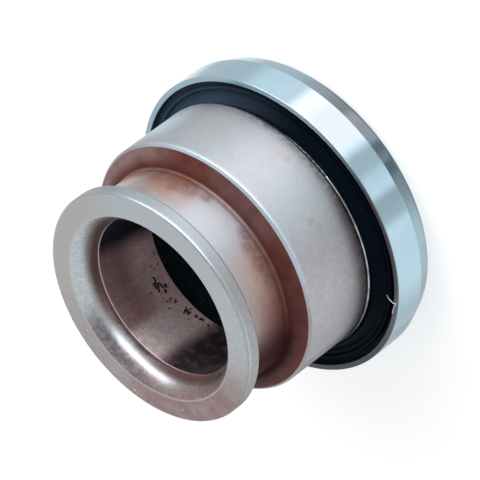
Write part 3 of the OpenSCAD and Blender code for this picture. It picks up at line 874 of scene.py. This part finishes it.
# patches are (turn, height, spread of the turn, spread of the height, crumbs), in degrees and mm
dirtLook = dict(
    name="boreDirt", seed=11, wall=17.5, lowest=26.3, shortest=0.12, longest=0.42, thickness=0.06, lumps=0.5,
    patches=[(82, 29.4, 8, 1.7, 36), (66, 28.4, 6, 1.0, 5), (93, 29.4, 4, 1.2, 6), (108, 28.0, 8, 1.0, 12),
             (125, 27.4, 6, 0.6, 6), (68, 27.0, 6, 0.4, 5), (95, 34, 30, 3.5, 5)])
curlLook = dict(
    name="boreCurls", seed=4, wall=17.5, lowest=26.3, shortest=0.30, longest=0.60, thickness=0.16, lumps=0.0,
    patches=[(81, 29.6, 8, 2.0, 9), (107, 28.0, 5, 1.0, 6), (114, 27.4, 4, 0.7, 5), (98, 28.4, 3, 0.5, 2)])


def makeDirt(s):
    dice = random.Random(s["seed"])
    spots = []
    for turn, height, wide, high, count in s["patches"]:
        for _ in range(count):
            x, y, z = around(dice.gauss(turn, wide / 2), s["wall"], dice.gauss(height, high / 2))
            spots.append((x + collarAxis * mm, y, max(z, s["lowest"] * mm)))
    base = bpy.data.meshes.new("dirtSpots")
    base.from_pydata(spots, [], [])
    settings = {"Axis X": collarAxis * mm, "Shortest": s["shortest"] * mm, "Longest": s["longest"] * mm,
                "Thickness": s["thickness"] * mm, "Lump Share": s["lumps"], "Seed": s["seed"],
                "Finish": dirtFinish}
    piece = fromNodes(crumbTree(crumbShape), base, settings, s["name"])
    faceOutward(piece)
    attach(piece, "sleeve")
    print("dirt:", len(spots), "crumbs,", len(piece.data.polygons), "faces")


makeDirt(dirtLook)
makeDirt(curlLook)


# a pale fibre caught between seal and ring; points are (turn, radius, height)
fibreLook = dict(
    thickness=0.09, steps=40, sides=8,
    points=[(-146, 29.6, 10.82), (-146, 30.2, 11.26), (-146.4, 31.1, 11.4), (-146.2, 31.9, 11.66),
            (-145.6, 32.4, 11.68), (-146.6, 32.3, 11.68), (-148.5, 32.0, 11.66), (-151, 31.95, 11.65)])


def fibreTree(s):
    inputs = {"Path": "Geometry", "Thickness": "Float", "Finish": "Material"}
    tree, given = startTree("fibre", inputs, "Fibre")
    line = put(tree, "GeometryNodeMeshToCurve", {"Mesh": given["Path"]})
    bent = put(tree, "GeometryNodeCurveSplineType", {"Curve": line.outputs[0]}, spline_type="CATMULL_ROM")
    fine = put(tree, "GeometryNodeResampleCurve", {"Curve": bent.outputs[0], "Count": s["steps"]})
    section = {"Resolution": s["sides"], "Radius": given["Thickness"]}
    ring = put(tree, "GeometryNodeCurvePrimitiveCircle", section)
    real = put(tree, "GeometryNodeRealizeInstances", {"Geometry": tube(tree, fine, ring)})
    endTree(tree, real.outputs[0], given["Finish"])
    return tree


def makeFibre(s):
    base = openLine("fibrePath", [around(*p) for p in s["points"]])
    settings = {"Thickness": s["thickness"] * mm, "Finish": fibreFinish}
    piece = fromNodes(fibreTree(s), base, settings, "caughtFibre")
    faceOutward(piece)
    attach(piece, "contact_ring")
    print("fibre:", len(piece.data.polygons), "faces")


makeFibre(fibreLook)


# studio: pale floor, soft light, camera; the part shades the floor up to the radius under, in mm
floorLook = dict(size=4.0, drop=0.05, colour=rgb(0.56, 0.55, 0.54), glow=0.58, under=28.5, soft=1.5)


def makeFloor(look):
    half = look["size"] / 2
    z = -look["drop"] * mm
    mesh = bpy.data.meshes.new("studioFloor")
    ends = [(-half, -half, z), (half, -half, z), (half, half, z), (-half, half, z)]
    mesh.from_pydata(ends, [], [(0, 1, 2, 3)])
    floor = bpy.data.objects.new("studioFloor", mesh)
    bpy.context.scene.collection.objects.link(floor)
    finish, tree = emptyTree("paleFloor")
    rays = put(tree, "ShaderNodeLightPath").outputs
    radius = placeOn(tree)[1]
    pale = put(tree, "ShaderNodeBsdfDiffuse", {"Color": look["colour"]})
    strength = times(tree, rays["Is Camera Ray"], look["glow"])
    glow = put(tree, "ShaderNodeEmission", {"Color": rgb(1, 1, 1), "Strength": strength})
    lit = put(tree, "ShaderNodeAddShader", {0: pale.outputs[0], 1: glow.outputs[0]})
    # polished metal sees the studio round it, not a slab of floor
    passing = calc(tree, "MAXIMUM", rays["Is Glossy Ray"], rays["Is Shadow Ray"])
    inner, outer = look["under"] - look["soft"], look["under"] + look["soft"]
    clear = times(tree, passing, ramp(tree, radius, inner * mm, outer * mm))
    through = put(tree, "ShaderNodeBsdfTransparent")
    mixed = put(tree, "ShaderNodeMixShader", {0: clear, 1: lit.outputs[0], 2: through.outputs[0]})
    put(tree, "ShaderNodeOutputMaterial", {"Surface": mixed.outputs[0]})
    mesh.materials.append(finish)


# sheets stand round the part as (turn, half width, softness, gain); the first is the key, with a box above it
studio = dict(
    cool=rgb(0.95, 1.0, 1.04), key=rgb(1.02, 0.97, 1.03), keyTop=(0.2, 0.4, 1.0, 0.0), low=0.70, high=0.68,
    horizon=(-0.25, 0.15), ground=0.32, groundRise=(-0.97, -0.84),
    sheets=[(-57.5, 26, 6, 0.96), (-18, 20, 16, 0.36), (74, 12, 6, 0.24), (108, 16, 8, -0.16),
            (-111, 7, 5, 0.24), (-130, 9, 5, -0.38), (-160, 34, 26, 0.36)],
    box=(-48, 40, 10), boxRise=(0.08, 0.32, 0.06), boxGain=4.8,
    card=(-86, 34, 16), cardRise=(0.50, 0.76, 0.10), cardLoss=0.55)


def makeWorld(s):
    world = bpy.data.worlds.new("studio")
    bpy.context.scene.world = world
    world.use_nodes = True
    tree = world.node_tree
    tree.nodes.clear()
    way = put(tree, "ShaderNodeTexCoord").outputs["Generated"]
    parts = put(tree, "ShaderNodeSeparateXYZ", {0: way}).outputs
    turn = calc(tree, "ARCTAN2", parts[1], parts[0])
    low = s["low"]
    for middle, half, soft, gain in s["sheets"]:
        low = calc(tree, "ADD", times(tree, sector(tree, turn, middle, half, soft), gain), low)
    low = times(tree, low, ramp(tree, parts[2], *s["groundRise"], s["ground"], 1.0))
    # a dark card stands where the photographer would
    card = times(tree, sector(tree, turn, *s["card"]), zone(tree, parts[2], *s["cardRise"]), s["cardLoss"])
    high = times(tree, calc(tree, "SUBTRACT", 1.0, card), s["high"])
    level = ramp(tree, parts[2], *s["horizon"])
    below = times(tree, calc(tree, "SUBTRACT", 1.0, level), low)
    light = calc(tree, "ADD", times(tree, level, high), below)
    box = times(tree, sector(tree, turn, *s["box"]), zone(tree, parts[2], *s["boxRise"]), s["boxGain"])
    light = calc(tree, "ADD", light, box)
    # the camera itself sees plain white
    seen = put(tree, "ShaderNodeLightPath").outputs["Is Camera Ray"]
    keyed = times(tree, sector(tree, turn, *s["sheets"][0][:3]), ramp(tree, parts[2], *s["keyTop"]))
    colour = tint(tree, seen, tint(tree, keyed, s["cool"], s["key"]), rgb(1, 1, 1))
    strength = calc(tree, "ADD", times(tree, light, calc(tree, "SUBTRACT", 1.0, seen)), seen)
    back = put(tree, "ShaderNodeBackground", {"Color": colour, "Strength": strength})
    put(tree, "ShaderNodeOutputWorld", {"Surface": back.outputs[0]})


# in metres
lamp = dict(to=(0.50, -0.25, 0.83), away=0.6, aim=(0, 0, 0.02), size=0.30, power=0.9,
            colour=(0.97, 0.99, 1.0))


def makeLamp(s):
    data = bpy.data.lights.new("keyLamp", "AREA")
    data.shape = "DISK"
    data.size = s["size"]
    data.energy = s["power"]
    data.color = s["colour"]
    holder = bpy.data.objects.new("keyLamp", data)
    bpy.context.scene.collection.objects.link(holder)
    away = Vector(s["to"]).normalized()
    holder.location = away * s["away"] + Vector(s["aim"])
    holder.rotation_mode = "QUATERNION"
    holder.rotation_quaternion = away.to_track_quat("Z", "Y")
    holder.visible_glossy = False  # the metal shows the studio, not the lamp's disc


# distance in mm; facePixel is where the middle of the flange face lies in the picture
sight = dict(lens=375.0, sensor=36.0, pixels=480, lean=55.1, swing=-36.8, away=958.9,
             facePixel=(148.0, 309.4), nearest=0.05, farthest=20)


def makeCamera(s):
    # the collar's axis leans away from the line of sight and swings in the picture;
    # the flange face sets the rest
    lean, swing = math.radians(s["lean"]), math.radians(s["swing"])
    axis = Vector((math.sin(lean) * math.cos(swing), math.sin(lean) * math.sin(swing), math.cos(lean)))
    side = Vector((-math.sin(swing), math.cos(swing), 0))
    turn = Matrix((-side, axis.cross(side), -axis))  # rows: the part's X, Y, Z seen by the camera
    focal = s["lens"] / s["sensor"] * s["pixels"]
    across, down = [(pixel - s["pixels"] / 2) / focal for pixel in s["facePixel"]]
    place = Vector((collarAxis, 0, collarTop)) - turn @ (Vector((across, down, 1)) * s["away"])
    data = bpy.data.cameras.new("photoView")
    data.lens = s["lens"]
    data.sensor_width = s["sensor"]
    data.clip_start, data.clip_end = s["nearest"], s["farthest"]
    holder = bpy.data.objects.new("photoView", data)
    bpy.context.scene.collection.objects.link(holder)
    holder.matrix_world = Matrix.Translation(place * mm) @ (turn @ Matrix.Diagonal((1, -1, -1))).to_4x4()
    bpy.context.scene.camera = holder


makeFloor(floorLook)
makeWorld(studio)
makeLamp(lamp)
makeCamera(sight)
bpy.context.scene.view_settings.view_transform = "Standard"
print("studio set")
